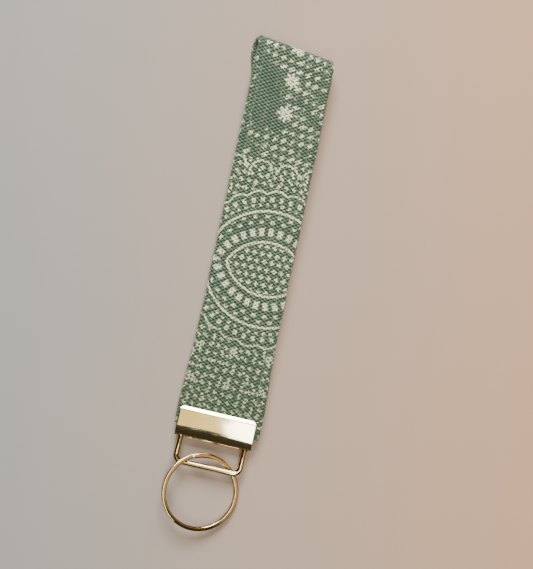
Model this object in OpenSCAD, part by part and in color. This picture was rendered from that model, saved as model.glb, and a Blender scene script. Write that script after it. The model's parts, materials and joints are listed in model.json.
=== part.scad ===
// Wristlet keychain: a flat fabric strap folded into a wrist loop, with both ends crimped
// in a stamped clamp. A rectangular wire bail swings in the clamp's barrel, and a split
// ring for keys hangs on the bail. The object lies on its back: the resting surface is
// z = 0, the strap runs along +Y and the ring points along -Y.

/* [Strap] */
// Width of the sewn strap across both folded edges
strap_w = 26.2; // [18:0.2:40]
// Length of strap that shows, from the clamp's mouth to the end of the fold
strap_reach = 123; // [90:1:180]
// Thickness of one layer of the cover fabric
cover_t = 0.5; // [0.3:0.05:0.8]
// Thickness of the webbing core
core_t = 1.0; // [0.8:0.1:2]
// Height of the fold over the resting surface
fold_h = 8.6; // [8:0.1:14]
// Length over which the lower leg drops from the clamp to the resting surface
drop_run = 10; // [6:1:20]

/* [Edge stitching] */
// Distance from the strap's edge to each row of stitches
row_inset = 2.8; // [2:0.1:5]
// Length of strap that one stitch takes
stitch_pitch = 3; // [2:0.25:4]
// Diameter of the sewing thread
thread_d = 0.26; // [0.15:0.01:0.3]

/* [Clamp] */
// How far the strap stands out of the clamp at each side
strap_proud = 0.4; // [0:0.1:1]
// Length of the clamp from its mouth to the barrel's nose
clamp_len = 10.4; // [9:0.1:16]
// Thickness of the stamped sheet
sheet_t = 0.8; // [0.6:0.05:1.2]
// Distance from the barrel's axis to where the jaws become parallel
flare_run = 2.2; // [1.6:0.1:2.8]
// Radius of the four corners at the mouth
mouth_r = 1; // [0.3:0.1:2]
// Number of teeth along each jaw
tooth_n = 9; // [5:1:14]
// How far each tooth bites into the cover
tooth_h = 0.4; // [0.2:0.05:0.45]

/* [Bail] */
// Diameter of the bail's wire
wire_d = 2.0; // [1.6:0.1:2.6]
// Width of the clamp's barrel that is left outside each leg of the bail
bail_lip = 1.0; // [0.6:0.1:2]
// Distance from the hinge axis to the axis of the bail's bar
bail_reach = 9.6; // [8:0.1:16]
// Bend radius of the bail's outer corners, at the wire's axis
bail_bend = 2.2; // [1.6:0.1:3.4]
// Bend radius of the bail's hinge corners, at the wire's axis
hinge_bend = 1.5; // [1.4:0.1:2]

/* [Split ring] */
// Outside diameter of the split ring
ring_od = 25.4; // [22:0.1:32]
// Radial width of the ring's flat wire
ring_wall = 1.5; // [1.2:0.1:2]
// Thickness of one turn of the ring's flat wire
turn_t = 0.9; // [0.8:0.05:1.1]
// Distance from the bail's bar axis to the ring's centre at rest
ring_hang = 8.2; // [7.6:0.1:9]
// Sideways place of the ring's centre at rest
ring_shift = -0.3; // [-0.6:0.1:0.6]

/* [Clearances] */
// Radial clearance of the bail's hinge wire in the clamp's barrel
hinge_gap = 0.08; // [0.05:0.01:0.1]
// Clearance round the bail's legs in the clamp's notches
notch_gap = 0.15; // [0.1:0.05:0.3]
// Clearance between the webbing core and the cover
core_gap = 0.04; // [0.02:0.01:0.1]
// Gap between the two legs of the strap inside the clamp
leg_gap = 0.1; // [0.05:0.05:0.4]
// Clearance round the thread in its groove and round the teeth
sew_gap = 0.04; // [0.02:0.01:0.08]
// Gap between the two turns of the split ring
turn_gap = 0.04; // [0.02:0.01:0.1]
// Height between the rolled ring and the bail's wire where they cross
ring_gap = 0.33; // [0.3:0.01:0.6]
// Gap between the barrel's throat and the strap's ends
end_gap = 0.3; // [0.1:0.1:1]

/* [Hidden] */
$fn = 64;

// A length that is longer than anything it cuts
past = 400;

// Strap section: two layers of cover round the core
leg_t = 2 * cover_t + core_t;
core_w = strap_w - 2 * cover_t;
row_x = strap_w / 2 - row_inset;

// Depth of each stitch groove: the thread, and its clearance under it and twice over it
groove_t = thread_d + 3 * sew_gap;

// Widths that follow the strap's
clamp_w = strap_w - 2 * strap_proud;
bail_w = clamp_w - 2 * bail_lip;

// Clamp section, measured from the barrel's axis
bore_r = wire_d / 2 + hinge_gap;
barrel_r = bore_r + sheet_t;
jaw_in = leg_t + leg_gap / 2;
jaw_out = jaw_in + sheet_t;
mouth_y = clamp_len - barrel_r;
hinge_z = jaw_out;

// The jaw's outer face leaves the barrel along a tangent that ends where the jaws are parallel
flare_tangent = tangent_angle([flare_run, jaw_out], barrel_r);
flare_slope = flare_tangent - 90;
throat_y = flare_run + sheet_t * tan(flare_slope / 2);
strap_start = throat_y + end_gap;

// Rest pose: the ring rolls over the bail at the left and under it at the right, until it
// clears the wire at both crossings. It touches the resting surface, and the bail lies at
// its height.
ring_r = ring_od / 2;
ring_mid = ring_r - ring_wall / 2;
turn_level = (turn_t + turn_gap) / 2;
leg_x = (bail_w - wire_d) / 2;
cross_x = min(leg_x, sqrt(ring_mid * ring_mid - ring_hang * ring_hang));
ring_roll = asin((turn_level + turn_t / 2 + wire_d / 2 + ring_gap) / cross_x);
bar_z = (ring_r - turn_t / 2) * sin(ring_roll) + turn_level * cos(ring_roll) + turn_t / 2;
bail_tilt = asin((bar_z - hinge_z) / bail_reach);
bar_y = -bail_reach * cos(bail_tilt);

// How far the bail turns up and down from its rest pose
bail_up = 5;
bail_down = 95;
// Angle that the notches give beyond each limit
notch_spare = 2;

// The fold's centreline, and the place of the barrel's axis that centres the whole object on y = 0
fold_r = (fold_h - leg_t) / 2;
fold_y = mouth_y + strap_reach - fold_h / 2;
hinge_y = -(mouth_y + strap_reach + bar_y - ring_hang - ring_r) / 2;

// Heights of the two legs' centrelines inside the clamp, over the resting surface
low_z = hinge_z - (leg_t + leg_gap) / 2;
high_z = hinge_z + (leg_t + leg_gap) / 2;

// Angle of the point where a line from p touches a circle of radius r at the origin
function tangent_angle(p, r) = atan2(p[1], p[0]) + acos(r / norm(p));

// A point at angle a on a circle of radius r round c
function on_circle(c, r, a) = c + r * [cos(a), sin(a)];

// The point that lies run from p on the way to q
function towards(p, q, run) = p + run * (q - p) / norm(q - p);

// Points of the strap's side outline, moved outwards by off from the centreline
fold_c = [fold_y, fold_h / 2];
function low_start(off) = [strap_start, low_z - off];
function low_mouth(off) = [mouth_y, low_z - off];
function low_down(off) = [mouth_y + drop_run, leg_t / 2 - off];
function low_fold(off) = [fold_y, leg_t / 2 - off];
function high_mouth(off) = [mouth_y, high_z + off];
function high_start(off) = [strap_start, high_z + off];
function fold_top_angle(off) = 180 - tangent_angle(
    [fold_c[0] - mouth_y, high_z + off - fold_c[1]], fold_r + off);
function fold_top(off) = on_circle(fold_c, fold_r + off, fold_top_angle(off));

// Turns a side outline (y, z) into a solid across the strap, from x0 to x1
module across(x0, x1) {
    translate([x0, 0, 0])
        rotate([90, 0, 90])
            linear_extrude(x1 - x0)
                children();
}

// Everything inside the strap's outline at off, opened towards the clamp by more
module loop_area(off, more = 0) {
    polygon([
        low_start(off) - [more, 0], low_mouth(off), low_down(off), low_fold(off),
        fold_c, fold_top(off), high_mouth(off), high_start(off) - [more, 0]
    ]);
    translate(fold_c)
        circle(fold_r + off);
}

// The strap's side section between two offsets from its centreline
module loop_band(inside, outside) {
    difference() {
        loop_area(outside);
        loop_area(inside, 1);
    }
}

// Half width of a tooth, as a share of the teeth's pitch
tooth_share = 1 / 3;

// Row of teeth on the front jaw's mouth, each grown by grow
module tooth_row(grow) {
    pitch = clamp_w / (tooth_n + 1);
    half = pitch * tooth_share + grow;
    for (i = [1 : tooth_n])
        translate([i * pitch - clamp_w / 2, mouth_y - sheet_t - grow, 0])
            rotate([-90, 0, 0])
                linear_extrude(sheet_t + 2 * grow)
                    polygon([
                        [-half, -jaw_in - sheet_t / 2], [half, -jaw_in - sheet_t / 2],
                        [half, -jaw_in], [0, tooth_h + grow - jaw_in], [-half, -jaw_in]
                    ]);
}

// Teeth of both jaws, in the object's frame
module teeth(grow = 0) {
    translate([0, 0, hinge_z])
        for (side = [0, 1])
            mirror([0, 0, side])
                tooth_row(grow);
}

// Groove of one stitch row, on the strap's outer and inner faces
module stitch_groove(x) {
    half = thread_d / 2 + sew_gap;
    across(x - half, x + half) {
        difference() {
            translate([-past / 2, -past / 2])
                square(past);
            loop_area(leg_t / 2 - groove_t, past);
        }
        loop_area(groove_t - leg_t / 2, 1);
    }
}

// Stitches laid end to end from p to q, in the strap's side plane
module stitch_line(p, q) {
    run = norm(q - p);
    count = floor(run / stitch_pitch);
    step = (q - p) / count;
    for (i = [0 : count - 1])
        stitch(p + (i + 0.5) * step, atan2(step[1], step[0]), norm(step));
}

// Stitches round the fold at a radius, from its lowest point to angle top
module stitch_arc(radius, top) {
    count = ceil((top + 90) * PI / 180 * radius / stitch_pitch);
    step = (top + 90) / count;
    chord = 2 * radius * sin(step / 2);
    sunk = radius * (1 - cos(step * stitch_share / 2)) / 2;
    for (i = [0 : count - 1])
        stitch(on_circle(fold_c, radius - sunk, (i + 0.5) * step - 90), (i + 0.5) * step, chord);
}

// Share of a stitch's step that shows between two needle holes
stitch_share = 0.72;

// One stitch, centred at p and lying along angle a, in a step of the row
module stitch(p, a, step) {
    translate([0, p[0], p[1]])
        rotate([a, 0, 0])
            rotate([90, 0, 0])
                cylinder(h = step * stitch_share, d = thread_d, center = true, $fn = 16);
}

// The visible row of one thread, at off from the strap's centreline
module thread_row(x, off) {
    translate([x, hinge_y, 0]) {
        stitch_line(towards(low_mouth(off), low_down(off), stitch_pitch), low_down(off));
        stitch_line(low_down(off), low_fold(off));
        stitch_arc(fold_r + off, fold_top_angle(off));
        stitch_line(fold_top(off), towards(high_mouth(off), fold_top(off), stitch_pitch));
    }
}

// Offset of a thread that lies just under the strap's face
thread_off = (leg_t - thread_d) / 2 - sew_gap;

// Fabric cover, folded round the webbing and sewn along both edges
module strap_cover() {
    color([0.42, 0.56, 0.50])
        translate([0, hinge_y, 0])
            difference() {
                across(-strap_w / 2, strap_w / 2)
                    loop_band(-leg_t / 2, leg_t / 2);
                across(-core_w / 2, core_w / 2)
                    difference() {
                        loop_area(core_t / 2, 1);
                        loop_area(-core_t / 2, 2);
                    }
                stitch_groove(-row_x);
                stitch_groove(row_x);
                teeth(sew_gap);
            }
}

// Webbing core that keeps the strap flat and stiff
module webbing_core() {
    color([0.88, 0.86, 0.80])
        translate([0, hinge_y, 0])
            across(core_gap - core_w / 2, core_w / 2 - core_gap)
                loop_band(core_gap - core_t / 2, core_t / 2 - core_gap);
}

// Thread on the strap's outer face, in the left row
module needle_thread_left() {
    color([0.50, 0.66, 0.60])
        thread_row(-row_x, thread_off);
}

// Thread on the strap's outer face, in the right row
module needle_thread_right() {
    color([0.50, 0.66, 0.60])
        thread_row(row_x, thread_off);
}

// Thread on the strap's inner face, in the left row
module bobbin_thread_left() {
    color([0.45, 0.60, 0.55])
        thread_row(-row_x, -thread_off);
}

// Thread on the strap's inner face, in the right row
module bobbin_thread_right() {
    color([0.45, 0.60, 0.55])
        thread_row(row_x, -thread_off);
}

// Side outline of the clamp's sheet at one face: the barrel and the two jaws that flare from it
module clamp_face(radius, jaw, flare, reach) {
    circle(radius);
    polygon([
        radius * [cos(flare_tangent), sin(flare_tangent)], [flare, jaw], [reach, jaw],
        [reach, -jaw], [flare, -jaw], radius * [cos(flare_tangent), -sin(flare_tangent)]
    ]);
}

// Straight steps that the swept notch's outline takes between its two ends
sweep_steps = 4;

// Room that a bail leg sweeps through the barrel, in the side plane
module leg_sweep() {
    up = bail_tilt + bail_up + notch_spare;
    down = bail_down - bail_tilt + notch_spare;
    half = wire_d / 2 + notch_gap;
    reach = barrel_r + wire_d;
    turn = (up + down) / sweep_steps;
    for (a = [up, -down])
        rotate(180 - a)
            translate([0, -half])
                square([reach, 2 * half]);
    polygon([
        [0, 0],
        for (i = [0 : sweep_steps]) on_circle([0, 0], reach, 180 - up + i * turn)
    ]);
}

// Stamped clamp: two jaws with teeth, joined by the barrel that holds the bail
module clamp() {
    notch_in = leg_x - hinge_bend - notch_gap;
    notch_out = bail_w / 2 + notch_gap;
    color([0.86, 0.82, 0.72])
        translate([0, hinge_y, 0]) {
            intersection() {
                translate([0, 0, hinge_z])
                    difference() {
                        across(-clamp_w / 2, clamp_w / 2)
                            difference() {
                                clamp_face(barrel_r, jaw_out, flare_run, mouth_y);
                                clamp_face(bore_r, jaw_in, throat_y, mouth_y + 1);
                            }
                        across(-notch_out, -notch_in)
                            leg_sweep();
                        across(notch_in, notch_out)
                            leg_sweep();
                    }
                linear_extrude(past)
                    mouth_outline();
            }
            teeth();
        }
}

// Plan of the clamp with its mouth corners rounded
module mouth_outline() {
    translate([-clamp_w / 2, -past])
        square([clamp_w, past + mouth_y - mouth_r]);
    translate([mouth_r - clamp_w / 2, 0])
        square([clamp_w - 2 * mouth_r, mouth_y]);
    for (x = [mouth_r - clamp_w / 2, clamp_w / 2 - mouth_r])
        translate([x, mouth_y - mouth_r])
            circle(mouth_r);
}

// Straight wire along X with its middle at the origin
module wire_x(len) {
    rotate([0, 90, 0])
        cylinder(h = len, d = wire_d, center = true);
}

// Quarter bend of wire round the origin, from angle a to a + 90 in the plane of the bail
module wire_bend(radius, a) {
    rotate([0, 0, a])
        rotate_extrude(angle = 90)
            translate([radius, 0])
                circle(d = wire_d);
}

// Rectangular bail: hinge wire in the barrel, two legs and the outer bar
module bail() {
    hinge_x = leg_x - hinge_bend;
    bar_x = leg_x - bail_bend;
    leg_len = bail_reach - hinge_bend - bail_bend;
    color([0.80, 0.76, 0.66])
        translate([0, hinge_y, hinge_z])
            rotate([-bail_tilt, 0, 0]) {
                wire_x(2 * hinge_x);
                translate([0, -bail_reach, 0])
                    wire_x(2 * bar_x);
                for (side = [0, 1])
                    mirror([side, 0, 0]) {
                        translate([leg_x, -hinge_bend, 0])
                            rotate([90, 0, 0])
                                cylinder(h = leg_len, d = wire_d);
                        translate([hinge_x, -hinge_bend, 0])
                            wire_bend(hinge_bend, 0);
                        translate([bar_x, bail_bend - bail_reach, 0])
                            wire_bend(bail_bend, -90);
                    }
            }
}

// Side section of the ring's flat wire with its two rounded edges
module flat_wire() {
    flat = ring_wall - turn_t;
    translate([ring_r - ring_wall / 2, 0]) {
        square([flat, turn_t], center = true);
        for (x = [-flat / 2, flat / 2])
            translate([x, 0])
                circle(d = turn_t);
    }
}

// Arc of the ring's flat wire from angle a0 to a1
module wire_arc(a0, a1) {
    rotate([0, 0, a0])
        rotate_extrude(angle = a1 - a0)
            flat_wire();
}

// Split ring: two turns of flat wire, joined by the jog where the wire changes level
module split_ring() {
    jog_from = 115;
    jog_to = 150;
    end_slit = 1.5;
    lap = 1;
    jog_mid = (jog_from + jog_to) / 2;
    jog_half = (jog_to - jog_from) / 2;
    jog_slope = asin(turn_level / ring_mid / sin(jog_half));
    color([0.80, 0.78, 0.72])
        translate([ring_shift, hinge_y + bar_y - ring_hang, bar_z])
            rotate([0, ring_roll, 0]) {
                translate([0, 0, turn_level])
                    wire_arc(jog_to - lap, jog_from + 360 - end_slit);
                translate([0, 0, -turn_level])
                    wire_arc(jog_to - 360 + end_slit, jog_from + lap);
                rotate([0, 0, jog_mid])
                    rotate([jog_slope, 0, 0])
                        wire_arc(-jog_half, jog_half);
            }
}

strap_cover();
webbing_core();
needle_thread_left();
needle_thread_right();
bobbin_thread_left();
bobbin_thread_right();
clamp();
bail();
split_ring();
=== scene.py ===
# %% [markdown]
# # A wristlet keychain
#
# A band of printed canvas is folded round a strip of webbing, sewn along both edges
# and folded in half, so that it makes a loop for the wrist. A stamped clamp bites on
# both ends. A wire bail swings in the clamp's barrel, and a split ring hangs on it.
#
# The exact model gives every place and size. Here it is loaded as a fixed frame, and
# the cloth, the thread and the pressed plate are made round it.

import json
from math import acos, atan2, cos, exp, floor, hypot, pi, radians, sin

import bmesh
import bpy
from mathutils import Matrix, Vector, noise


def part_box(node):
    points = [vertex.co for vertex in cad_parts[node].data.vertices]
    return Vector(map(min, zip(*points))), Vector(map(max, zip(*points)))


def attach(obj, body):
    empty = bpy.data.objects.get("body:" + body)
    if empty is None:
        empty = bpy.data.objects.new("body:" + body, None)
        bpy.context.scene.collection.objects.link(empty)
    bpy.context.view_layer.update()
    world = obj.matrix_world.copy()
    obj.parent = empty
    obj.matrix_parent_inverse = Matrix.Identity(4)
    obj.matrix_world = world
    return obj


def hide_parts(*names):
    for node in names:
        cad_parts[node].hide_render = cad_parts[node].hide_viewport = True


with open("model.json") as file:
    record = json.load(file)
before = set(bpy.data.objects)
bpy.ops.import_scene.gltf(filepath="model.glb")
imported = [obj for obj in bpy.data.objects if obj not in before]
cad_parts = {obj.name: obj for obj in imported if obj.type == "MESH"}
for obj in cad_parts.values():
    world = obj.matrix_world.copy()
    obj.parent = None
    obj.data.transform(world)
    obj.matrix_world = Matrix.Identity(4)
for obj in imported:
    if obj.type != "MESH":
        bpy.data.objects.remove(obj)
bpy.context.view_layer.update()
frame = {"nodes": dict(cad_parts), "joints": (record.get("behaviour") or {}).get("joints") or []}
mm = 0.001
print("The frame has", ", ".join(frame["nodes"]))

# %% [markdown]
# ## Sizes
#
# Places come from the boxes of the exact parts and from the bail's joint. The few sizes
# that a box can't tell, such as the thickness of one layer of canvas, are named here.

# %% Read the sizes of the strap and the hardware
cover_lo, cover_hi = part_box("strap_cover")
clamp_lo, clamp_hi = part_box("clamp")
hinge = Vector(frame["joints"][0]["pos_m"])

strap_half = (cover_hi.x - cover_lo.x) / 2
clamp_half = (clamp_hi.x - clamp_lo.x) / 2
fold_height = cover_hi.z - cover_lo.z
mouth_y = clamp_hi.y
plate_t = 0.8 * mm
cloth_t = 0.5 * mm
leg_t = 2 * mm
leg_gap = 0.1 * mm
drop_run = 10 * mm
print(f"Strap {2000 * strap_half:.1f} mm wide, clamp {2000 * clamp_half:.1f} mm wide")

# %% [markdown]
# ## The way the strap runs
#
# Every soft piece follows one line: out of the clamp's lower jaw, down to the table,
# along it to the fold, round the fold and straight back to the upper jaw. Each piece
# is modelled flat, as it would be cut, and one function then lays it along that line.
# In this way the canvas, the webbing and the thread can't drift apart.

# %% Corners of the line, seen from the side as (y, z)
low_z = hinge.z - (leg_t + leg_gap) / 2
high_z = hinge.z + (leg_t + leg_gap) / 2
fold_r = (fold_height - leg_t) / 2
fold_mid = Vector((cover_hi.y - fold_height / 2, fold_height / 2))
to_mouth = Vector((fold_mid.x - mouth_y, high_z - fold_mid.y))
top_turn = pi - (atan2(to_mouth.y, to_mouth.x) + acos(fold_r / to_mouth.length))


def on_fold(turn):
    return fold_mid + fold_r * Vector((cos(turn), sin(turn)))


# %% Walk along the line in small even steps
step = 0.5 * mm
corners = [
    Vector((cover_lo.y, low_z)),
    Vector((mouth_y, low_z)),
    Vector((mouth_y + drop_run, leg_t / 2)),
]
arc_steps = 24
for i in range(arc_steps + 1):
    corners.append(on_fold(-pi / 2 + i * (top_turn + pi / 2) / arc_steps))
corners += [Vector((mouth_y, high_z)), Vector((cover_lo.y, high_z))]

walk = [corners[0]]
for a, b in zip(corners, corners[1:]):
    count = max(1, round((b - a).length / step))
    walk += [a.lerp(b, (i + 1) / count) for i in range(count)]

# %% Round off the line's bends, as cloth does, and measure it
rounding_passes = 6
for _ in range(rounding_passes):
    middle = [(walk[i - 1] + 2 * walk[i] + walk[i + 1]) / 4 for i in range(1, len(walk) - 1)]
    walk = [walk[0]] + middle + [walk[-1]]
reach = [0.0]
for a, b in zip(walk, walk[1:]):
    reach.append(reach[-1] + (b - a).length)
line_length = reach[-1]
jaw_depth = mouth_y - cover_lo.y
print(f"The strap's line is {1000 * line_length:.1f} mm long")


# %% Find a point of the line, its direction and its outer side
def station(s):
    s = min(max(s, 0.0), line_length)
    lo, hi = 0, len(reach) - 1
    while hi - lo > 1:
        half = (lo + hi) // 2
        if reach[half] <= s:
            lo = half
        else:
            hi = half
    share = (s - reach[lo]) / (reach[hi] - reach[lo])
    here = walk[lo].lerp(walk[hi], share)
    before, after = walk[max(lo - 1, 0)], walk[min(hi + 1, len(walk) - 1)]
    ahead = (after - before).normalized()
    return here, Vector((ahead.y, -ahead.x))


def ease(x):
    x = min(max(x, 0.0), 1.0)
    return x * x * (3 - 2 * x)


# %% [markdown]
# A sewn strap is never quite square. This one is folded a little askew, its lower leg
# slips to one side near the fold, and the canvas swells where the clamp squeezes it. It
# also sits a little to one side in the clamp and leans the other way.

# %% Lay a flat piece along the line
fold_skew = 0.13
skew_run = 30 * mm
leg_slip = 2.1 * mm
slip_run = 12 * mm
mouth_swell = 0.075
swell_run = 16 * mm
side_set = 0.4 * mm
strap_lean = 2.1 * mm
straight_run = fold_mid.x - mouth_y
low_fold_s = jaw_depth + straight_run
high_fold_s = line_length - jaw_depth - straight_run


def lay(flat):
    """flat is (across the strap, along it, height over its centre line)."""
    here, out = station(flat.y)
    before_fold = low_fold_s - flat.y
    after_fold = flat.y - high_fold_s
    away = max(before_fold, after_fold, 0.0)
    past_mouth = abs(min(flat.y, line_length - flat.y) - jaw_depth)
    swell = 1 + mouth_swell * exp(-((past_mouth / swell_run) ** 2))
    x = flat.x * swell
    slip = leg_slip * ease(1 - away / slip_run)
    x -= slip * (1 - ease((flat.y - low_fold_s) / (high_fold_s - low_fold_s)))
    from_mouth = max(min(flat.y, line_length - flat.y) - jaw_depth, 0.0)
    x += side_set - strap_lean * from_mouth / (line_length / 2)
    y = here.x + out.x * flat.z - fold_skew * flat.x * ease(1 - away / skew_run)
    return Vector((x, y, here.y + out.y * flat.z))


# %% Turn a finished mesh into a piece
def piece(name, bm, body, material):
    mesh = bpy.data.meshes.new(name)
    bm.to_mesh(mesh)
    bm.free()
    for face in mesh.polygons:
        face.use_smooth = True
    obj = bpy.data.objects.new(name, mesh)
    bpy.context.scene.collection.objects.link(obj)
    obj.data.materials.append(material)
    if body:
        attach(obj, body)
    lo, hi = Vector(mesh.vertices[0].co), Vector(mesh.vertices[0].co)
    for v in mesh.vertices:
        lo = Vector(map(min, lo, v.co))
        hi = Vector(map(max, hi, v.co))
    size = (hi - lo) * 1000
    print(f"{name}: {len(mesh.polygons)} faces, {size.x:.1f} x {size.y:.1f} x {size.z:.1f} mm")
    return obj


# %% [markdown]
# ## Arithmetic for materials
#
# The weave and the print are sums of distances and waves. Each Math node does one
# step, so a small class lets the steps be written as ordinary arithmetic. Every
# operator below adds one Math node to the material or group that it belongs to.

# %% A number that changes over the surface
class Field:
    def __init__(self, tree, value):
        self.tree, self.value = tree, value

    def op(self, kind, *others):
        node = self.tree.nodes.new("ShaderNodeMath")
        node.operation = kind
        for socket, item in zip(node.inputs, (self, *others)):
            value = item.value if isinstance(item, Field) else item
            if isinstance(value, bpy.types.NodeSocket):
                self.tree.links.new(value, socket)
            else:
                socket.default_value = value
        return Field(self.tree, node.outputs[0])

    def __add__(self, b):
        return self.op("ADD", b)

    def __sub__(self, b):
        return self.op("SUBTRACT", b)

    def __mul__(self, b):
        return self.op("MULTIPLY", b)

    def __truediv__(self, b):
        return self.op("DIVIDE", b)

    def __abs__(self):
        return self.op("ABSOLUTE")


# %% The steps that patterns need most
def length(a, b):
    return (a * a + b * b).op("SQRT")


def either(*masks):
    found = masks[0]
    for mask in masks[1:]:
        found = found.op("MAXIMUM", mask)
    return found


def both(*masks):
    found = masks[0]
    for mask in masks[1:]:
        found = found.op("MINIMUM", mask)
    return found


def repeat(a, pitch):
    """Distance from the middle of the nearest of many even steps."""
    return (a / pitch).op("FRACT").op("ADD", 1).op("FRACT") * pitch - pitch / 2


def below(a, limit, soft):
    """1 where a is well below limit, 0 where it is well above."""
    node = a.tree.nodes.new("ShaderNodeMapRange")
    node.interpolation_type = "SMOOTHSTEP"
    a.tree.links.new(a.value, node.inputs["Value"])
    node.inputs["From Min"].default_value = limit - soft
    node.inputs["From Max"].default_value = limit + soft
    node.inputs["To Min"].default_value = 1
    node.inputs["To Max"].default_value = 0
    return Field(a.tree, node.outputs["Result"])


# %% Start a node group with named sockets
def new_group(name, inputs, outputs):
    group = bpy.data.node_groups.new(name, "ShaderNodeTree")
    for label, kind, default in inputs:
        socket = group.interface.new_socket(label, in_out="INPUT", socket_type=kind)
        if default is not None:
            socket.default_value = default
    for label, kind in outputs:
        group.interface.new_socket(label, in_out="OUTPUT", socket_type=kind)
    return group, group.nodes.new("NodeGroupInput"), group.nodes.new("NodeGroupOutput")


def split(tree, vector):
    node = tree.nodes.new("ShaderNodeSeparateXYZ")
    tree.links.new(vector, node.inputs[0])
    return [Field(tree, node.outputs[i]) for i in range(3)]


def cloudy(tree, vector, scale, detail=2.0):
    node = tree.nodes.new("ShaderNodeTexNoise")
    tree.links.new(vector, node.inputs["Vector"])
    node.inputs["Scale"].default_value = scale
    node.inputs["Detail"].default_value = detail
    return Field(tree, node.outputs["Fac"])


def streaks(tree, vector, scale):
    node = tree.nodes.new("ShaderNodeMapping")
    node.inputs["Scale"].default_value = scale
    tree.links.new(vector, node.inputs["Vector"])
    return cloudy(tree, node.outputs[0], 1.0)


# %% [markdown]
# ## The weave
#
# Canvas is a plain weave: warp and weft pass over and under each other in a
# chequerboard. The product of two cosines has its hills and hollows in just that
# pattern. Its hills are the warp threads on top, its hollows the weft threads, and the
# dark lines between them are the gaps. The webbing uses the same group, but coarser.

# %% Build the weave group
drift_scale = 0.35
slub_across, slub_along = (1.1, 0.10, 1), (0.10, 1.7, 1)
round_share, check_share = 0.6, 0.4


def make_weave():
    group, into, out = new_group(
        "weave",
        [
            ("Cloth", "NodeSocketVector", None),
            ("Across", "NodeSocketFloat", 1.0),
            ("Along", "NodeSocketFloat", 1.0),
            ("Uneven", "NodeSocketFloat", 0.2),
        ],
        [("Height", "NodeSocketFloat"), ("Lit", "NodeSocketFloat"), ("Slub", "NodeSocketFloat")],
    )
    cloth = into.outputs["Cloth"]
    u, v, _ = split(group, cloth)
    uneven = Field(group, into.outputs["Uneven"])
    drift = (cloudy(group, cloth, drift_scale) - 0.5) * uneven
    wave_u = ((u + drift) / Field(group, into.outputs["Across"]) * pi).op("COSINE")
    wave_v = ((v - drift) / Field(group, into.outputs["Along"]) * pi).op("COSINE")
    checks = wave_u * wave_v
    slub = streaks(group, cloth, slub_across) * 0.5 + streaks(group, cloth, slub_along) * 0.5
    height = abs(checks).op("POWER", 0.5) * round_share + checks * check_share
    group.links.new((height + slub * uneven).value, out.inputs["Height"])
    group.links.new((checks * 0.5 + 0.5).value, out.inputs["Lit"])
    group.links.new(slub.value, out.inputs["Slub"])
    return group


weave = make_weave()
print("Weave group:", len(weave.nodes), "nodes")

# %% [markdown]
# ## The print
#
# The cream print is a large pointed medallion with a smaller one inside it. Rows of
# blocks and beads follow the two outlines, little crosses fill the middle, and
# rosettes and sprigs fill the rest. Each mark is a distance compared with a size, all
# in millimetres of flat cloth: across the strap, and up it from the clamp's mouth.

# %% Marks that the print is made of
def pointed(a, s, half_height, radius):
    """Distance outside a pointed oval, and the length along its outline."""
    sunk = radius - half_height
    lifted = abs(s) + sunk
    turn = lifted.op("ARCTAN2", a)
    return length(a, lifted) - radius, turn * radius


# %% Lines, blocks, crosses and rosettes, each with its own softness of edge
def line_at(distance, place, width):
    return below(abs(distance - place), width / 2, soft=0.16)


def blocks(distance, along, place, height, pitch, width):
    tall = below(abs(distance - place), height / 2, soft=0.25)
    wide = below(abs(repeat(along, pitch)), width / 2, soft=0.2)
    return both(tall, wide)


def crosses(a, s, pitch, arm, width):
    """Small crosses in rows, each row moved on by half a step."""
    row = (s / pitch).op("FLOOR")
    shift = (row * 0.5).op("FRACT") * pitch
    x, y = abs(repeat(a + shift, pitch)), abs(repeat(s, pitch))
    thin = below(both(x, y), width / 2, soft=0.12)
    return both(thin, below(either(x, y), arm, soft=0.15))


def rosette(a, s, size, petals):
    leaf_swing, leaf_least, eye = 0.6, 0.42, 0.35
    turn = s.op("ARCTAN2", a)
    leaf = abs((turn * (petals / 2)).op("COSINE")) * leaf_swing + leaf_least
    away = length(a, s)
    return both(below(away / leaf, size, soft=0.3), below(away * -1, -eye, soft=0.15))


# %% Draw the medallion, its rows of blocks and its scalloped border
medal_a, medal_s = 5, 49
outer_h, outer_r = 19, 20.8
inner_h, inner_r = 8.8, 14.6
small_pitch = 2.5
scallop_pitch, scallop_rise, scallop_out = 5.2, 1.1, 5.6


def draw_medallion(a, s):
    """Distance outside the medallion, and the marks in and round it."""
    x, y = a - medal_a, s - medal_s
    outside, round_out = pointed(x, y, outer_h, outer_r)
    inside, round_in = pointed(x, y, inner_h, inner_r)
    outlines = either(
        line_at(outside, place=0, width=0.75),
        line_at(inside, place=0, width=0.7),
    )
    shifted = round_in + small_pitch / 2
    ring_in = either(
        blocks(inside, round_in, place=3.3, height=2.4, pitch=small_pitch, width=1.35),
        blocks(inside, round_in, place=6.6, height=0.9, pitch=small_pitch, width=0.9),
        blocks(inside, shifted, place=8.4, height=0.8, pitch=small_pitch, width=0.8),
    )
    ring_in = both(ring_in, below(outside, -1.0, soft=0.2))
    small_crosses = crosses(a, s, small_pitch, arm=0.78, width=0.55)
    middle = both(small_crosses, below(inside, -0.9, soft=0.2))
    scallop = (round_out * (pi / scallop_pitch)).op("SINE")
    scallop = abs(scallop) * scallop_rise + scallop_out
    ring_out = either(
        blocks(outside, round_out, place=2.0, height=0.8, pitch=2.2, width=0.8),
        blocks(outside, round_out, place=3.9, height=1.5, pitch=2.6, width=1.0),
        line_at(outside - scallop, place=0, width=0.6),
    )
    return outside, [outlines, ring_in, middle, ring_out]


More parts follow.
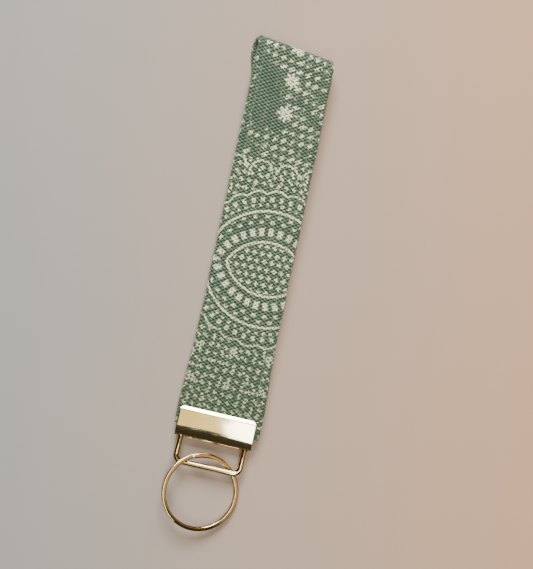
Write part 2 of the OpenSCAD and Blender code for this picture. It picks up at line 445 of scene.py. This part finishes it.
# %% Fill the ground between with sprigs, buds, a spray of crosses and arches
spot_scale, spot_spread, spot_r = 0.36, 0.75, 0.16
ground_out = 7.4
border_s, upper_s, border_waver = 84, 84.5, 5
bud_slant, spray_slant = 0.3, 0.4
plain_a, plain_s, plain_r, plain_squash = -7, 104, 5.2, 0.45
thin_scale, thin_limit = 0.22, 0.52
arch_pitch, arch_a, arch_s, arch_r = 8.6, 1, 80, 3.6


def draw_ground(group, cloth, a, s, ragged, outside):
    spots = group.nodes.new("ShaderNodeTexVoronoi")
    spots.voronoi_dimensions = "2D"
    spots.inputs["Scale"].default_value = spot_scale
    spots.inputs["Randomness"].default_value = spot_spread
    group.links.new(cloth, spots.inputs["Vector"])
    near = Field(group, spots.outputs["Distance"])
    border = s + ragged * border_waver
    beyond = both(below(outside * -1, -ground_out, soft=0.3), below(border, border_s, soft=0.4))
    sprigs = both(below(near, spot_r, soft=0.04), beyond)
    buds = both(crosses(a + s * bud_slant, s, small_pitch, arm=0.66, width=0.42), beyond)
    plain = below(length(a - plain_a, (s - plain_s) * plain_squash), plain_r, soft=0.8)
    upper = both(below(border * -1, -upper_s, soft=0.4), plain * -1 + 1)
    thinned = below(cloudy(group, cloth, thin_scale, 1.0), thin_limit, soft=0.05)
    spray_a, spray_s = a - s * spray_slant + ragged * 3, s + ragged * 2
    spray = crosses(spray_a, spray_s, pitch=2.9, arm=0.9, width=0.6)
    spray = both(spray, upper, thinned)
    arch = length(repeat(a - arch_a, arch_pitch), s - arch_s)
    arches = both(line_at(arch, arch_r, width=0.5), below(s * -1, -arch_s, soft=0.3))
    return [sprigs, buds, spray, arches]


# %% Add a column of large rosettes, and small ones near the clamp
flower_a, flower_s, flower_pitch, flower_from = 0.5, 94.5, 11, 94
small_a, small_s, small_end = -5.6, 4, 28


def draw_rosettes(a, s):
    row_s = repeat(s - flower_s, flower_pitch)
    flowers = rosette(a - flower_a, row_s, size=2.6, petals=8)
    flowers = both(flowers, below(s * -1, -flower_from, soft=0.3))
    pair_a = repeat(a - small_a, -2 * small_a)
    small = rosette(pair_a, repeat(s - small_s, flower_pitch), size=1.3, petals=5)
    return [flowers, both(small, below(s, small_end, soft=0.3))]


# %% Build the print group
print_repeat = 128
ragged_scale, ragged_by = 0.9, 0.9
worn_scale, worn_swing, worn_least = 0.5, 0.9, 0.5
faint_to, faint_fade, faint_by = 30, 12, 0.20


def make_print():
    group, into, out = new_group(
        "cream print",
        [("Cloth", "NodeSocketVector", None), ("Mouth", "NodeSocketFloat", 0.0)],
        [("Mask", "NodeSocketFloat")],
    )
    cloth = into.outputs["Cloth"]
    u, v, _ = split(group, cloth)
    ragged = (cloudy(group, cloth, ragged_scale, 3.0) - 0.5) * ragged_by
    far = (Field(group, into.outputs["Mouth"]) - v) / print_repeat
    s = far.op("FRACT").op("ADD", 1).op("FRACT") * print_repeat
    a = u + ragged
    s = s + ragged
    outside, medallion = draw_medallion(a, s)
    ground = draw_ground(group, cloth, a, s, ragged, outside)
    mask = either(*medallion, *ground, *draw_rosettes(a, s))
    worn = cloudy(group, cloth, worn_scale) * worn_swing + worn_least
    worn = worn - below(s, faint_to, soft=faint_fade) * faint_by
    mask = (mask * worn).op("MINIMUM", 1.0)
    group.links.new(mask.value, out.inputs["Mask"])
    return group


cream_print = make_print()
print("Print group:", len(cream_print.nodes), "nodes")


# %% Helpers that fill in a material
def new_material(name):
    material = bpy.data.materials.new(name)
    material.use_nodes = True
    tree = material.node_tree
    return material, tree, tree.nodes["Principled BSDF"]


def place_group(tree, group, **values):
    node = tree.nodes.new("ShaderNodeGroup")
    node.node_tree = group
    for label, value in values.items():
        socket = node.inputs[label]
        if isinstance(value, bpy.types.NodeSocket):
            tree.links.new(value, socket)
        else:
            socket.default_value = value
    return node


def blend_colours(tree, share, first, second):
    node = tree.nodes.new("ShaderNodeMix")
    node.data_type = "RGBA"
    tree.links.new(share.value, node.inputs["Factor"])
    for label, colour in (("A", first), ("B", second)):
        socket = [s for s in node.inputs if s.name == label and s.type == "RGBA"][0]
        if isinstance(colour, bpy.types.NodeSocket):
            tree.links.new(colour, socket)
        else:
            socket.default_value = (*colour, 1)
    return [s for s in node.outputs if s.type == "RGBA"][0]


def bump(tree, shader, height, distance):
    node = tree.nodes.new("ShaderNodeBump")
    node.inputs["Distance"].default_value = distance
    tree.links.new(height.value, node.inputs["Height"])
    tree.links.new(node.outputs["Normal"], shader.inputs["Normal"])


def own_map(tree, name):
    node = tree.nodes.new("ShaderNodeUVMap")
    node.uv_map = name
    return node.outputs["UV"]


def own_place(tree):
    return tree.nodes.new("ShaderNodeTexCoord").outputs["Object"]


# %% [markdown]
# The canvas is teal yarn with painted shade in the gaps and hollows of the weave, paler
# where a thread is thick, with a painted highlight on the crests of the threads, and
# darker on the upper leg towards the clamp's mouth. The print takes well on the tops of
# the threads and hardly reaches between them, so the cream is broken up by the weave.
# The cloth is rough, with a little sheen from its loose fibres.

# %% Colours of the printed canvas
yarn_dark, yarn_light = (0.057, 0.115, 0.082), (0.100, 0.162, 0.110)
# Next come yarn for the painted highlight on the crests, painted shade for the weave's gaps, and a
# darker colour towards the clamp's mouth
yarn_thick, yarn_crest_highlight = (0.18, 0.25, 0.17), (0.30, 0.38, 0.27)
yarn_gap_shade, yarn_near_clamp = (0.011, 0.026, 0.012), (0.03, 0.06, 0.03)
cream_dark, cream_light = (0.88, 0.96, 0.63), (0.94, 0.99, 0.69)
crest_highlight_share, cream_share, near_clamp_share = 0.22, 0.95, 0.42
shade_scale = 0.09
thick_limit, crest_highlight_limit, gap_shade_limit, cream_limit = 0.45, 0.78, 0.46, 0.26
near_clamp_reach, near_clamp_fade = 14, 22
mouth_at = 1000 * (line_length - jaw_depth)


# %% Make the printed canvas
def make_canvas():
    material, tree, shader = new_material("printed canvas")
    cloth = own_map(tree, "cloth")
    threads = place_group(tree, weave, Cloth=cloth, Across=0.95, Along=0.59, Uneven=0.45)
    marks = place_group(tree, cream_print, Cloth=cloth, Mouth=mouth_at)
    lit = Field(tree, threads.outputs["Lit"])
    slub = Field(tree, threads.outputs["Slub"])
    shade = cloudy(tree, cloth, shade_scale)
    yarn = blend_colours(tree, shade, yarn_dark, yarn_light)
    yarn = blend_colours(tree, below(slub, thick_limit, soft=0.10), yarn, yarn_thick)
    # Painted highlight: the crests of the threads are painted paler
    crest_highlight = below(lit * -1, -crest_highlight_limit, soft=0.20) * crest_highlight_share
    yarn = blend_colours(tree, crest_highlight, yarn, yarn_crest_highlight)
    # Painted shade: the hollows and gaps of the weave are painted dark
    teal = blend_colours(tree, below(lit, gap_shade_limit, soft=0.30), yarn, yarn_gap_shade)
    cover = Field(tree, marks.outputs["Mask"]) * below(lit * -1, -cream_limit, soft=0.22)
    cream = blend_colours(tree, shade, cream_dark, cream_light)
    colour = blend_colours(tree, cover * cream_share, teal, cream)
    along = split(tree, cloth)[1]
    # The cloth is painted darker on the upper leg towards the clamp's mouth
    near_clamp = below(along * -1 + mouth_at, near_clamp_reach, soft=near_clamp_fade) * near_clamp_share
    colour = blend_colours(tree, near_clamp, colour, yarn_near_clamp)
    tree.links.new(colour, shader.inputs["Base Color"])
    shader.inputs["Roughness"].default_value = 0.85
    shader.inputs["Specular IOR Level"].default_value = 0.25
    shader.inputs["Sheen Weight"].default_value = 0.15
    bump(tree, shader, Field(tree, threads.outputs["Height"]), distance=0.22 * mm)
    return material


canvas = make_canvas()

# %% Make the undyed webbing and the thread
def make_webbing():
    material, tree, shader = new_material("undyed webbing")
    cloth = own_map(tree, "cloth")
    threads = place_group(tree, weave, Cloth=cloth, Across=1.4, Along=1.1, Uneven=0.2)
    lit = Field(tree, threads.outputs["Lit"])
    # Painted shade in the hollows of the weave and a painted highlight on the tops of its threads
    colour = blend_colours(tree, lit, (0.52, 0.48, 0.38), (0.80, 0.77, 0.67))
    tree.links.new(colour, shader.inputs["Base Color"])
    shader.inputs["Roughness"].default_value = 0.9
    bump(tree, shader, Field(tree, threads.outputs["Height"]), distance=0.25 * mm)
    return material


ply_pitch = 0.22 * mm


def make_thread(name, dark, light):
    material, tree, shader = new_material(name)
    x, y, z = split(tree, own_place(tree))
    ply = ((x + y + z) * (2 * pi / ply_pitch)).op("SINE") * 0.5 + 0.5
    # Painted shade in the grooves between the plies, paler on their ridges
    colour = blend_colours(tree, ply, dark, light)
    tree.links.new(colour, shader.inputs["Base Color"])
    shader.inputs["Roughness"].default_value = 0.55
    shader.inputs["Sheen Weight"].default_value = 0.2
    bump(tree, shader, ply, distance=0.03 * mm)
    return material


webbing = make_webbing()
top_thread = make_thread("needle thread", (0.07, 0.13, 0.09), (0.15, 0.23, 0.17))
under_thread = make_thread("bobbin thread", (0.06, 0.12, 0.08), (0.13, 0.21, 0.15))

# %% [markdown]
# ## Canvas cover
#
# The cover starts as the flat rectangle that is cut for it. Its flat place is kept as
# a UV map, in millimetres, so the weave runs with the cloth round every edge. Then the
# rectangle is wrapped round the webbing and laid along the strap's line. Its two long
# edges meet on the inside of the loop. A Solidify modifier gives the cloth its wall.

# %% Wrap a point of flat cloth round the webbing
edge_r = leg_t / 2
flat_half = strap_half - edge_r
girth = 4 * flat_half + 2 * pi * edge_r
row_x = strap_half - 2.8 * mm
pitch = 3 * mm
groove, groove_half = 0.26 * mm, 0.55 * mm
tight_share = 0.15


def wrap(u, s):
    side = 1 if u >= 0 else -1
    u = abs(u)
    if u <= flat_half:
        x, z = u, edge_r
    elif u <= flat_half + pi * edge_r:
        turn = (u - flat_half) / edge_r
        x, z = flat_half + edge_r * sin(turn), edge_r * cos(turn)
    else:
        x, z = 2 * flat_half + pi * edge_r - u, -edge_r
    sewn = exp(-(((x - row_x) / groove_half) ** 2))
    pull = groove * sewn * (1 - tight_share + tight_share * cos(2 * pi * s / pitch))
    face = 1 if z > 0 else -1
    z -= face * pull
    return Vector((side * x, s, z))


# %% Add the small unevenness of sewn cloth
waver_size, fine_size = 0.22 * mm, 0.07 * mm
crease_size, rough_size = 0.22 * mm, 0.05 * mm
crease_run = 7 * mm


def wander(flat, across, along, layer):
    """Smooth noise with so many waves to the metre across the strap and along it."""
    return noise.noise(Vector((flat.x * across, flat.y * along, layer)))


def unsettled(flat):
    """Edges that waver, and creases round the fold."""
    waver = wander(flat, 40, 110, 3.1) * waver_size
    fine = wander(flat, 300, 700, 9.4) * fine_size
    at_edge = ease((abs(flat.x) - flat_half) / edge_r + 1)
    x = flat.x + (waver + fine) * at_edge
    near_fold = max(low_fold_s - flat.y, flat.y - high_fold_s, 0.0)
    crease = wander(flat, 90, 420, 5.7) * ease(1 - near_fold / crease_run)
    rough = wander(flat, 160, 160, 1.2)
    return Vector((x, flat.y, flat.z + crease_size * crease + rough_size * rough))


# %% Keep each point's place in the flat cloth, and slice a mesh across
def keep_flat_place(bm):
    cut = bm.loops.layers.uv.new("cloth")
    for face in bm.faces:
        for loop in face.loops:
            loop[cut].uv = loop.vert.co.xy * 1000


def slice_at(bm, place, along):
    bmesh.ops.bisect_plane(bm, geom=bm.verts[:] + bm.edges[:] + bm.faces[:],
                           plane_co=place, plane_no=along)


# %% Cut, wrap and lay the canvas
weld = 0.01 * mm


def make_cover():
    across, along = 100, 330
    bm = bmesh.new()
    bmesh.ops.create_grid(bm, x_segments=across, y_segments=along, size=0.5)
    bmesh.ops.scale(bm, vec=(girth, line_length, 1), verts=bm.verts)
    bmesh.ops.translate(bm, vec=(0, line_length / 2, 0), verts=bm.verts)
    keep_flat_place(bm)
    for v in bm.verts:
        v.co = lay(unsettled(wrap(v.co.x, v.co.y)))
    bmesh.ops.remove_doubles(bm, verts=bm.verts, dist=weld)
    bmesh.ops.recalc_face_normals(bm, faces=bm.faces)
    obj = piece("canvas_cover", bm, "strap", canvas)
    wall = obj.modifiers.new("cloth wall", "SOLIDIFY")
    wall.thickness = cloth_t
    wall.offset = -1
    return obj


cover = make_cover()
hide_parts("strap_cover")

# %% [markdown]
# ## Webbing core
#
# The webbing is a flat woven band with a rounded selvedge. A long box with its long
# edges bevelled is enough, because only its ends could ever be seen.

# %% Make the webbing
side_room, face_room = 0.3 * mm, 0.04 * mm
selvedge = 0.35 * mm
core_slices = 240


def make_core():
    half_w = strap_half - cloth_t - side_room
    half_t = leg_t / 2 - cloth_t - face_room
    bm = bmesh.new()
    bmesh.ops.create_cube(bm, size=1)
    bmesh.ops.scale(bm, vec=(2 * half_w, line_length, 2 * half_t), verts=bm.verts)
    bmesh.ops.translate(bm, vec=(0, line_length / 2, 0), verts=bm.verts)
    long_edges = [e for e in bm.edges if e.calc_length() > line_length / 2]
    bmesh.ops.bevel(bm, geom=long_edges, offset=selvedge, offset_type="OFFSET", segments=3,
                    profile=0.5, affect="EDGES", material=-1)
    for i in range(1, core_slices):
        slice_at(bm, (0, i * line_length / core_slices, 0), (0, 1, 0))
    keep_flat_place(bm)
    for v in bm.verts:
        v.co = lay(v.co)
    bmesh.ops.recalc_face_normals(bm, faces=bm.faces)
    return piece("webbing_band", bm, "strap", webbing)


core = make_core()
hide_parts("webbing_core")

# %% [markdown]
# ## Sewing
#
# A lockstitch shows as a row of short arches, each diving into the cloth at both ends.
# One arch is a small ring of points pulled along the strap, and the row is that arch
# repeated. The needle thread shows outside the loop and the bobbin thread inside it.

# %% Make one row of stitches
thread_r = 0.15 * mm
stitch_half = 0.37 * pitch
dive, sunk = 0.30 * mm, 0.12 * mm
hoops = 6


def make_row(name, x, face, material):
    bm = bmesh.new()
    ring = bmesh.ops.create_circle(bm, segments=6, radius=thread_r)["verts"]
    bmesh.ops.rotate(bm, verts=ring, matrix=Matrix.Rotation(pi / 2, 3, "X"))
    bmesh.ops.translate(bm, vec=(0, -stitch_half, 0), verts=ring)
    edges = bm.edges[:]
    for _ in range(hoops):
        grown = bmesh.ops.extrude_edge_only(bm, edges=edges)["geom"]
        ring = [g for g in grown if isinstance(g, bmesh.types.BMVert)]
        edges = [g for g in grown if isinstance(g, bmesh.types.BMEdge)]
        bmesh.ops.translate(bm, vec=(0, 2 * stitch_half / hoops, 0), verts=ring)
    bmesh.ops.holes_fill(bm, edges=[e for e in bm.edges if e.is_boundary], sides=0)
    bmesh.ops.recalc_face_normals(bm, faces=bm.faces)
    for v in bm.verts:
        v.co.z -= dive * (v.co.y / stitch_half) ** 4
    one = bm.verts[:] + bm.edges[:] + bm.faces[:]
    rest = face * (leg_t / 2 - sunk)
    first = jaw_depth + pitch
    count = floor((line_length - 2 * first) / pitch)
    for i in range(1, count):
        copy = bmesh.ops.duplicate(bm, geom=one)["geom"]
        turned = [g for g in copy if isinstance(g, bmesh.types.BMVert)]
        bmesh.ops.translate(bm, vec=(0, i * pitch, 0), verts=turned)
    for v in bm.verts:
        v.co = lay(Vector((x + v.co.x, first + pitch / 2 + v.co.y, rest + face * v.co.z)))
    bmesh.ops.recalc_face_normals(bm, faces=bm.faces)
    return piece(name, bm, "strap", material)


for side_name, side in (("left", -1), ("right", 1)):
    row = make_row(f"needle_stitches_{side_name}", side * row_x, 1, top_thread)
    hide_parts(f"needle_thread_{side_name}")
    row = make_row(f"bobbin_stitches_{side_name}", side * row_x, -1, under_thread)
    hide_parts(f"bobbin_thread_{side_name}")

# %% [markdown]
# ## Polished nickel
#
# All the hardware is nickel-plated and polished. What it looks like is mostly what it
# reflects, so the material stays simple: full metal, low roughness and a faint ripple
# left by the polishing wheel. Smears and a few fine hairlines only make it a little
# duller in places. The plate's colour leans to pale gold and the wires' to light bronze,
# warmer than bare nickel: the warm light of the room is painted into their colour.

# %% Build the handling-wear group
ripple_scale, smear_scale = 130, 260
hair_turn, hair_scale = 0.6, (250, 6000, 1200)
smear_dulls, hair_dulls = 0.06, 0.08


def make_wear():
    group, into, out = new_group(
        "handling wear",
        [("Place", "NodeSocketVector", None), ("Ripple", "NodeSocketFloat", 1.0)],
        [("Height", "NodeSocketFloat"), ("Roughness", "NodeSocketFloat")],
    )
    place = into.outputs["Place"]
    ripple = cloudy(group, place, ripple_scale, 1.0) * Field(group, into.outputs["Ripple"])
    stretch = group.nodes.new("ShaderNodeMapping")
    stretch.inputs["Rotation"].default_value = (0, 0, hair_turn)
    stretch.inputs["Scale"].default_value = hair_scale
    group.links.new(place, stretch.inputs["Vector"])
    hair = below(cloudy(group, stretch.outputs[0], 1.0, 1.0), 0.30, soft=0.03)
    smear = cloudy(group, place, smear_scale, 3.0)
    group.links.new(ripple.value, out.inputs["Height"])
    group.links.new((smear * smear_dulls + hair * hair_dulls).value, out.inputs["Roughness"])
    return group


wear = make_wear()


tint_scale, tint_share = 90, 0.93


def make_nickel(name, colour, rough, ripple, depth):
    material, tree, shader = new_material(name)
    marks = place_group(tree, wear, Place=own_place(tree), Ripple=ripple)
    roughness = Field(tree, marks.outputs["Roughness"]) + rough
    tree.links.new(roughness.value, shader.inputs["Roughness"])
    tint = cloudy(tree, own_place(tree), tint_scale)
    darker = tuple(tint_share * c for c in colour)
    tree.links.new(blend_colours(tree, tint, darker, colour), shader.inputs["Base Color"])
    shader.inputs["Metallic"].default_value = 1
    bump(tree, shader, Field(tree, marks.outputs["Height"]), depth)
    return material


# Painted warm light: the plate and the wires get warmer colours than bare nickel
plate_metal = make_nickel(
    "polished plate", (0.86, 0.78, 0.50), rough=0.05, ripple=0.6, depth=0.10 * mm)
bail_metal = make_nickel(
    "polished wire", (0.60, 0.49, 0.30), rough=0.02, ripple=0.4, depth=0.04 * mm)
ring_metal = make_nickel(
    "spring wire", (0.60, 0.50, 0.32), rough=0.03, ripple=0.4, depth=0.04 * mm)

# %% [markdown]
# ## Clamp
#
# A real clamp is stamped flat, with two windows for the bail, and then rolled round
# its barrel. It is made the same way here: a plate with rounded corners, sliced finely
# so that it can bend, windows cut out, each point moved to its place on the rolled
# outline, and at last a wall of sheet thickness. The upper jaw is crowned a little, and
# the mouths turn in to bite the canvas. Inside the barrel the wall is thinner over the
# bail's bent corners, so that they can turn there.

# %% Outline of the rolled plate, seen from the side
barrel_r = hinge.y - clamp_lo.y
jaw_out = clamp_hi.z - hinge.z
jaw_reach = mouth_y - hinge.y
flare_run = 2.2 * mm
tangent = atan2(jaw_out, flare_run) + acos(barrel_r / hypot(flare_run, jaw_out))

half_plate = [Vector((jaw_reach, jaw_out)), Vector((flare_run, jaw_out))]
roll_steps = 16
outline_step = 0.12 * mm
soften_passes, soften_from = 110, -0.1 * barrel_r
for i in range(roll_steps + 1):
    turn = tangent + i * (pi - tangent) / roll_steps
    half_plate.append(barrel_r * Vector((cos(turn), sin(turn))))
upper = [half_plate[0]]
for a, b in zip(half_plate, half_plate[1:]):
    count = max(1, round((b - a).length / outline_step))
    upper += [a.lerp(b, (i + 1) / count) for i in range(count)]
for _ in range(soften_passes):
    for i in range(1, len(upper) - 1):
        if upper[i].x > soften_from:
            upper[i] = (upper[i - 1] + upper[i] + upper[i + 1]) / 3
upper = [p if p.length > barrel_r else p.normalized() * barrel_r for p in upper]
outline = upper + [Vector((p.x, -p.y)) for p in reversed(upper[:-1])]
run = [0.0]
for a, b in zip(outline, outline[1:]):
    run.append(run[-1] + (b - a).length)
plate_length = run[-1]
print(f"The flat plate is {2000 * clamp_half:.1f} x {1000 * plate_length:.1f} mm")


# %% Roll a point of the flat plate
crown = 0.16 * mm
crown_from, crown_run = 0.08 * jaw_reach, 0.55 * jaw_reach
lip_run, lip_drop = 1.1 * mm, 0.42 * mm


def roll(flat):
    i = min(max(sum(1 for r in run if r <= flat.y) - 1, 0), len(run) - 2)
    share = (flat.y - run[i]) / (run[i + 1] - run[i])
    here = outline[i].lerp(outline[i + 1], share)
    ahead = outline[min(i + 2, len(run) - 1)] - outline[max(i - 1, 0)]
    out = Vector((-ahead.y, ahead.x)).normalized() * -1
    from_mouth = min(flat.y, plate_length - flat.y)
    flat_part = ease(from_mouth / lip_run) * ease((here.x - crown_from) / crown_run)
    across = 1 - (flat.x / clamp_half) ** 2
    lift = crown * across * flat_part if here.y > 0 else 0.0
    turned = max(1 - from_mouth / lip_run, 0.0)
    lift -= lip_drop * turned
    here = here + out * lift
    return Vector((flat.x, hinge.y + here.x, hinge.z + here.y))


# %% Place the windows that the bail's legs swing through
wire_r = 1 * mm
bail_lo, bail_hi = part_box("bail")
leg_x = (bail_hi.x - bail_lo.x) / 2 - wire_r
window_in = leg_x - 1.65 * mm
window_out = leg_x + 1.15 * mm
leg_top = radians(60)
leg_past = 1.2 * mm


def window_ends():
    """Where the bail's legs need room, from a little over level to straight down."""
    first = next(r for r, p in zip(run, outline) if p.x < 0 and atan2(p.y, -p.x) < leg_top)
    last = [r for r, p in zip(run, outline) if p.y < 0 and p.x < leg_past][-1]
    return first, last


# %% Stamp the flat plate and roll it
corner_r = 1.5 * mm
rows, columns = 84, 48


def make_clamp():
    bm = bmesh.new()
    bmesh.ops.create_grid(bm, x_segments=1, y_segments=1, size=0.5)
    bmesh.ops.scale(bm, vec=(2 * clamp_half, plate_length, 1), verts=bm.verts)
    bmesh.ops.translate(bm, vec=(0, plate_length / 2, 0), verts=bm.verts)
    bmesh.ops.bevel(bm, geom=bm.verts[:], offset=corner_r, offset_type="OFFSET", segments=6,
                    profile=0.5, affect="VERTICES", material=-1)
    first, last = window_ends()
    for i in range(1, rows):
        slice_at(bm, (0, i * plate_length / rows, 0), (0, 1, 0))
    for i in range(1, columns):
        slice_at(bm, (-clamp_half + i * 2 * clamp_half / columns, 0, 0), (1, 0, 0))
    for side in (-1, 1):
        for x in (window_in, window_out):
            slice_at(bm, (side * x, 0, 0), (1, 0, 0))
    for s in (first, last):
        slice_at(bm, (0, s, 0), (0, 1, 0))
    inside = []
    for face in bm.faces:
        mid = face.calc_center_median()
        if window_in < abs(mid.x) < window_out and first < mid.y < last:
            inside.append(face)
    bmesh.ops.delete(bm, geom=inside, context="FACES")
    for v in bm.verts:
        v.co = roll(v.co)
    bmesh.ops.recalc_face_normals(bm, faces=bm.faces)
    return piece("clamp_plate", bm, "strap", plate_metal)


clamp = make_clamp()
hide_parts("clamp")

# %% Mark where the wall is thinner, so that the bail's bent corners have room
thin_share = 0.52
thin_in, thin_out = window_in - 0.3 * mm, window_out + 0.1 * mm
thin_low, thin_high = -0.2, radians(105)
thin_reach = 1.3 * barrel_r
relief = clamp.vertex_groups.new(name="wall share")
for v in clamp.data.vertices:
    place = v.co - hinge
    at_leg = thin_in < abs(v.co.x) < thin_out
    on_barrel = hypot(place.y, place.z) < thin_reach
    over = thin_low < atan2(place.z, -place.y) < thin_high
    share = thin_share if at_leg and on_barrel and over else 1.0
    relief.add([v.index], share, "REPLACE")

# %% Check which way the plate's faces look, then give it its sheet thickness
nose = min(clamp.data.polygons, key=lambda f: f.center.y)
if nose.normal.y > 0:
    clamp.data.flip_normals()
wall = clamp.modifiers.new("sheet", "SOLIDIFY")
wall.thickness = plate_t
wall.offset = -1
wall.vertex_group = relief.name
soft = clamp.modifiers.new("tumbled edges", "BEVEL")
soft.width = 0.14 * mm
soft.segments = 3
soft.limit_method = "ANGLE"
soft.angle_limit = radians(50)

# %% [markdown]
# ## Bail and split ring
#
# The exact bail and ring already have their true shapes: a closed rectangle of round
# wire, and two turns of flat wire with a jog between them. They only need their metal.

# %% Give the wire parts their metal
def finish_metal(node, metal):
    obj = frame["nodes"][node]
    obj.data.materials.clear()
    obj.data.materials.append(metal)


finish_metal("bail", bail_metal)
finish_metal("split_ring", ring_metal)

# %% [markdown]
# ## Table, light and camera
#
# The keychain lies on a pale matt board. Polished metal shows what is round it, so the
# room is dark and each thing that the metal should show is a panel of its own. A white
# and a cream panel hang overhead and fill the clamp's face. Two bronze ones beside them
# colour the wires, and a window lights the cloth and throws the soft shadows. The near
# side holds only a dim card, which draws the dark band along the clamp's rolled edge.

# %% Make the table
board_half = 1.6
board_in_cool_light, board_in_warm_light = (0.280, 0.312, 0.330), (0.515, 0.335, 0.224)
warm_light_slope, patchiness = 4.6, 0.25
patch_scale, grain_scale = 9, 900


def make_board():
    material, tree, shader = new_material("pale board")
    place = own_place(tree)
    patches = cloudy(tree, place, patch_scale, 3.0)
    grain = cloudy(tree, place, grain_scale)
    x, y, _ = split(tree, place)
    # Painted light: the board is painted warmer towards the right and the far side and cooler
    # towards the left, in patches, as warm and cool side light would make it
    warm_light_share = (x * warm_light_slope + y + (patches - 0.5) * patchiness).op("ADD", 0.5)
    warm_light_share = warm_light_share.op("MINIMUM", 1.0).op("MAXIMUM", 0.0)
    colour = blend_colours(tree, warm_light_share, board_in_cool_light, board_in_warm_light)
    tree.links.new(colour, shader.inputs["Base Color"])
    shader.inputs["Roughness"].default_value = 0.9
    shader.inputs["Specular IOR Level"].default_value = 0.2
    bump(tree, shader, grain, distance=0.02 * mm)
    bm = bmesh.new()
    bmesh.ops.create_grid(bm, x_segments=8, y_segments=8, size=board_half)
    return piece("board", bm, None, material)


board = make_board()


# %% Hang the lights
def soft_light(name, place, size, power, colour, aim):
    light = bpy.data.lights.new(name, "AREA")
    light.shape = "RECTANGLE"
    light.size, light.size_y = size
    light.energy = power
    light.color = colour
    obj = bpy.data.objects.new(name, light)
    bpy.context.scene.collection.objects.link(obj)
    obj.location = place
    obj.rotation_euler = (Vector(aim) - Vector(place)).to_track_quat("-Z", "Y").to_euler()


centre = (0, 0, 0)
bronze = (1.0, 0.62, 0.26)
# Each panel's name, place, width and length, power, colour and the point it faces
panels = [
    ("white panel", (0.11, -0.36, 1.0), (0.22, 0.92), 7.2, (1.0, 0.96, 0.88), (0.11, -0.36, 0)),
    ("cream panel", (-0.11, -0.26, 1.0), (0.22, 0.72), 0.80, (1.0, 0.72, 0.30), (-0.11, -0.26, 0)),
    ("window", (-0.12, 0.64, 0.66), (0.50, 0.50), 16.5, (1.0, 0.97, 0.92), centre),
    ("far bronze card", (0.0, 0.43, 1.0), (0.90, 0.34), 0.9, bronze, centre),
    ("right bronze card", (0.49, -0.05, 0.85), (0.35, 0.70), 0.8, bronze, centre),
    ("near olive card", (0.0, -0.90, 0.42), (1.2, 0.30), 0.12, (1.0, 0.74, 0.34), centre),
]
for panel in panels:
    soft_light(*panel)
print("Hung", len(panels), "panels")

# %% Leave a little warm light in the room
world = bpy.data.worlds.new("room")
world.use_nodes = True
world.node_tree.nodes["Background"].inputs["Color"].default_value = (1.0, 0.80, 0.5, 1)
world.node_tree.nodes["Background"].inputs["Strength"].default_value = 0.04
bpy.context.scene.world = world

# %% Set the camera, nearly straight overhead
view_mid = Vector((5.65 * mm, mouth_y + 44.3 * mm, 5 * mm))
view_lean = radians(3)
view_roll = radians(12.9)
view_away = 0.375
view_height = 186.0 * mm
sensor = 24

camera_data = bpy.data.cameras.new("camera")
camera_data.sensor_fit = "VERTICAL"
camera_data.sensor_height = sensor
camera_data.lens = sensor * view_away / view_height
camera_data.clip_start = 0.01
camera = bpy.data.objects.new("camera", camera_data)
bpy.context.scene.collection.objects.link(camera)
up = Vector((-sin(view_roll), cos(view_roll), 0))
back = Vector((0, 0, 1)) * cos(view_lean) - up * sin(view_lean)
right = up.cross(back).normalized()
up = back.cross(right)
turn = Matrix((right, up, back)).transposed()
camera.matrix_world = Matrix.Translation(view_mid + back * view_away) @ turn.to_4x4()
bpy.context.scene.camera = camera
